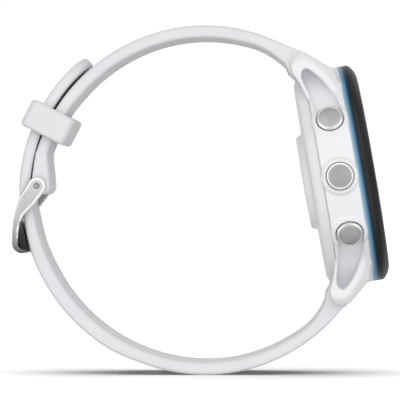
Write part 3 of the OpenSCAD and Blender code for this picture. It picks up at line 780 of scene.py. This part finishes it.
UPPER_L = sum(length for length, _ in UPPER_ARCS)
end_x, end_z, end_h = (float(v[0]) for v in station(np.array([UPPER_L]), UPPER_START, UPPER_ARCS))
TIP_OUT = (end_x, end_z)
TIP_IN = (end_x - STRAP_T * math.sin(end_h), end_z + STRAP_T * math.cos(end_h))
BULB = smooth([TIP_OUT, (TIP_OUT[0] - 0.5, TIP_OUT[1] - 2.2)]
              + arc(PIN_X, PIN_Z, 1.3, 170, 270, 6)
              + arc(PIN_X + 0.85, PIN_Z + 0.1, 1.9, 280, 375, 8)
              + [(TIP_IN[0] + 0.35, TIP_IN[1] - 1.8), TIP_IN], 1)
use(surface("short_strap", upper_field, (-9, -11.4, -3.4), (UPPER_L + 10, 11.4, 9.5), 0.26,
            strap_place(UPPER_START, UPPER_ARCS, 1)),
    "watch", "white_strap", white_strap, "strap_upper")

LOWER_L = sum(length for length, _ in LOWER_ARCS)


def lower_field(s, y, d):
    inner = fullness(s, 7, LOWER_FREE) - fullness(s, LOWER_FREE + 3, LOWER_L + 20, 0.16)
    side, px, pz = strap_side(s, d, LOWER_START, LOWER_ARCS, -1, FLARE_T - 0.5, inner,
                              fullness(s, 48, 88, 0.35))
    plan = meet(s - LOWER_L, np.abs(y) - STRAP_HALF, TAIL_ROUND)
    body = meet(side, plan, strap_edge(s))
    body = strap_cuts(body, px, y, pz)
    k = np.clip(np.round((s - HOLE_AT) / HOLE_PITCH), -9, 4)
    half = np.where(k == 0, TONGUE_HOLE + 0.3, HOLE_L) / 2
    hole = box2(s - HOLE_AT - k * HOLE_PITCH, y, half, HOLE_W / 2 + 0.05, HOLE_W / 2)
    return cut(body, hole, 0.3)


use(surface("long_strap", lower_field, (-9, -11.4, -3.4), (LOWER_L + 0.6, 11.4, 9.5), 0.26,
            strap_place(LOWER_START, LOWER_ARCS, -1)),
    "watch", "white_strap", white_strap, "strap_lower")

# ---------------------------------------------------------------- keeper


def keeper_field(x, y, z):
    half = STRAP_HALF + KEEPER_GAP + KEEPER_SIDE
    mid, deep = (KEEPER_IN + KEEPER_OUT) / 2, (KEEPER_OUT - KEEPER_IN) / 2
    outer = box2(x - mid, y, deep, half, 1.6)
    slot = box2(x - (SLOT_IN + SLOT_OUT) / 2, y, (SLOT_OUT - SLOT_IN) / 2,
                STRAP_HALF + KEEPER_GAP, 0.5)
    body = meet(outer, np.abs(z) - KEEPER_W / 2, 0.8)
    return cut(body, slot, 0.3)


def keeper_place(p):
    c, s = math.cos(KEEPER_ANGLE), math.sin(KEEPER_ANGLE)
    return np.stack([KEEPER_C[0] + p[:, 0] * c - p[:, 2] * s, p[:, 1],
                     KEEPER_C[1] + p[:, 0] * s + p[:, 2] * c], 1)


use(surface("keeper_loop", keeper_field, (32.87, -13.87, -3.43), (43.8, 13.8, 3.4), 0.2,
            keeper_place), "keeper", "white_strap", white_strap, "keeper")

# ---------------------------------------------------------------- buckle

ARM_SIDE = (arc(PIN_X, PIN_Z, 1.9, -38, 148)
            + [(-37.2, 1.2), (-38.3, -2.1), (-38.85, -4.6), (-39.07, -7)]
            + arc(-36.85, -8.95, 2.25, 172, 262, 8) + [(-36.0, -11.05), (-35.9, -10.6)]
            + arc(-36.7, -9.2, 1.15, 265, 185, 6)
            + [(-37.75, -7), (-37.45, -4.9), (-36.6, -3.2), (-34.5, -1.0)])
CROSSBAR_SIDE = [(-37.9, -4.6), (-37.2, -4.6), (-36.8, -6.1), (-36.34, -8.0), (-35.98, -9.4),
                 (-35.98, -10.7), (-37.5, -10.2), (-38.2, -7)]
NOTCH_SIDE = [(-45, 0), (-37, 0), (-37, -7.1), (-38.1, -7.5), (-38.1, -9.2), (-45, -9.2)]
CHAMFER, CHAMFER_TILT, CHAMFER_END = 0.56, math.radians(30), -7.7
# Heights, and the arm's middle at each
ARM_MIDDLE = ((-12, -9, -6, -3, 0, 3, 6), (-37, -38.3, -38.3, -37.4, -36, -33.9, -33.9))


def buckle_field(x, y, z):
    ay = np.abs(y)
    side = poly2(ARM_SIDE, x, z)
    face = ay - (FRAME_Y + ARM_T)
    body = np.maximum(side, face)
    slope = side * math.sin(CHAMFER_TILT) + face * math.cos(CHAMFER_TILT)
    # The chamfer narrows down the outer edge and round the curl
    outer = ease(np.clip((np.interp(z, *ARM_MIDDLE) - x) / 0.6 + 0.5, 0, 1), 0.3)
    fades = np.clip(0.75 - z / 3, 0, 1) * outer
    lower = np.clip((CHAMFER_END - z) / 1.2, 0, 1)
    width = CHAMFER * (1 - 0.8 * np.maximum(fades, lower))
    body = meet(body, slope + width * math.sin(CHAMFER_TILT), 0.06)
    body = cut(body, np.maximum(ay - FRAME_Y, CROSSBAR_Z - z), 0.25)
    body = np.minimum(body, np.maximum(poly2(CROSSBAR_SIDE, x, z), ay - FRAME_Y))
    body = cut(body, np.maximum(poly2(NOTCH_SIDE, x, z), ay - TONGUE_W / 2 - 0.3), 0.12)
    return cut(body, np.hypot(x - PIN_X, z - PIN_Z) - 0.62, 0.08)


buckle = surface("buckle_bow", buckle_field, (-39.6, -13.25, -11.7), (-31.5, 13.25, 5.2), 0.125)
use(buckle, "buckle", "satin_steel", polished_steel, "buckle_frame")
buckle.data.materials.append(arm_steel_painted_reflection)
buckle.data.materials.append(inner_steel_painted_shade)
# Inner faces towards the strap take the painted-shade steel, outer faces and the low curl the
# arms' steel with its painted reflection, the rest stays polished
for face in buckle.data.polygons:
    fx, fy, fz = (v / MM for v in face.center)
    if abs(fy) < FRAME_Y + 0.29:
        face.material_index = 2 if fx > np.interp(fz, *ARM_MIDDLE) else 0
    elif abs(fy) > FRAME_Y + ARM_T - 0.03 or fz < -8:
        face.material_index = 1

TONGUE_SIDE = smooth([
    (-33.6, 3.9), (-34.3, 3.95), (-36.2, 1.9), (-37.75, -1.2), (-38.7, -4.6), (-39.0, -8.0),
    (-38.9, -8.6), (-38.4, -8.5), (-38.35, -7.9), (-37.75, -4.7), (-36.7, -1.6),
    (-35.3, 0.9), (-33.9, 1.9)], 2)


def tongue_field(x, y, z):
    pin = np.hypot(x - PIN_X, z - PIN_Z)
    tube = meet(pin - 1.15, np.abs(y) - 1.35, 0.15)
    blade = meet(poly2(TONGUE_SIDE, x, z), np.abs(y) - TONGUE_W / 2, 0.25)
    return cut(join(tube, blade, 0.3), pin - PIN_R - 0.08)


use(surface("tongue_blade", tongue_field, (-39.4, -1.7, -9), (-32.4, 1.7, 4.5), 0.13),
    "tongue", "satin_steel", polished_steel, "buckle_tongue")

# ---------------------------------------------------------------- CAD nodes that stay

node_slot = {p["node"]: p["material_slot"] for p in frame["record"]["subparts"]}
REPLACED = ({"case_middle", "rear_cover", "bezel", "front_lens", "accent_ring", "sensor_window",
             "strap_upper", "strap_lower", "keeper", "buckle_frame", "buckle_tongue"}
            | {b + "_button" for b in BUTTONS})
for name, obj in nodes.items():
    if name in REPLACED:
        continue
    look = pin_steel if name == "buckle_pin" else CAD_LOOKS[node_slot[name]]
    obj.data.materials.clear()
    obj.data.materials.append(look)

# ---------------------------------------------------------------- stage, lights and camera


def plane(name, corners, material):
    obj = new_object(name, np.array(corners) / MM, [(0, 1, 2, 3)])
    obj.data.materials.append(material)
    return obj


FLOOR = cad_box[0][2]
floor = plane("floor", [(-3, -1.5, FLOOR), (3, -1.5, FLOOR), (3, 6, FLOOR), (-3, 6, FLOOR)],
              Shader("floor_white", (0.30, 0.30, 0.30), 1.0).material)
floor.visible_diffuse = floor.visible_glossy = floor.visible_transmission = False


# Radiance of the walls, of the ring and middle of the viewer's side, the ring's gain with
# height, and the strength of the light on the floor
WALL_LIGHT, RING_LIGHT, FRONT_LIGHT, LIFT, OVERHEAD = 0.32, 0.95, 0.36, 0.25, 10.2
BACK_LIGHT = 1.02


def overhead():
    """Light from above that only the floor takes: it whitens the floor and leaves the shadow."""
    lamp = bpy.data.objects.new("overhead", bpy.data.lights.new("overhead", "SUN"))
    bpy.context.scene.collection.objects.link(lamp)
    lamp.location = (0, 0, 1)
    lamp.rotation_euler = Vector((0, -0.08, -1)).to_track_quat("-Z", "Y").to_euler()
    lamp.data.energy, lamp.data.angle = OVERHEAD, math.radians(95)
    only = bpy.data.collections.new("floor_only")
    only.objects.link(floor)
    lamp.light_linking.receiver_collection = only


def surroundings():
    """A studio seen as light by direction: a plain white back wall, soft light in a ring round
    the viewer's side, and dimmer walls elsewhere."""
    world = bpy.data.worlds.new("studio")
    world.use_nodes = True
    tree = world.node_tree
    axes = tree.nodes.new("ShaderNodeSeparateXYZ")
    tree.links.new(tree.nodes.new("ShaderNodeTexCoord").outputs["Generated"], axes.inputs[0])

    def maths(operation, a, b):
        m = tree.nodes.new("ShaderNodeMath")
        m.operation = operation
        for socket, value in zip(m.inputs, (a, b)):
            if isinstance(value, (int, float)):
                socket.default_value = value
            else:
                tree.links.new(value, socket)
        return m.outputs[0]

    front = maths("POWER", maths("MAXIMUM", maths("MULTIPLY", axes.outputs[1], -1.0), 0.0), 2.0)
    back = maths("POWER", maths("MAXIMUM", axes.outputs[1], 0.0), 4.0)
    ring = maths("MULTIPLY", front, maths("SUBTRACT", 1.0, front))
    ring = maths("MULTIPLY", ring, maths("ADD", 1.0, maths("MULTIPLY", axes.outputs[2], LIFT)))
    light = maths("ADD", maths("MULTIPLY", ring, 4 * RING_LIGHT), WALL_LIGHT)
    light = maths("ADD", light, maths("MULTIPLY", front, FRONT_LIGHT))
    light = maths("ADD", light, maths("MULTIPLY", back, BACK_LIGHT - WALL_LIGHT))
    tree.links.new(light, tree.nodes["Background"].inputs["Strength"])
    tree.nodes["Background"].inputs["Color"].default_value = (1, 1, 1, 1)
    return world


scene = bpy.context.scene
scene.world = surroundings()
overhead()
scene.view_settings.view_transform = "Standard"
scene.view_settings.look = "None"

camera = bpy.data.objects.new("camera", bpy.data.cameras.new("camera"))
scene.collection.objects.link(camera)
camera.location = (0.017, -0.750, -0.0006)
camera.rotation_euler = (Vector((0, 0, 0)) - camera.location).to_track_quat("-Z", "Y").to_euler()
camera.data.lens = 317.7
camera.data.sensor_width = 36
camera.data.clip_start = 0.01
scene.camera = camera
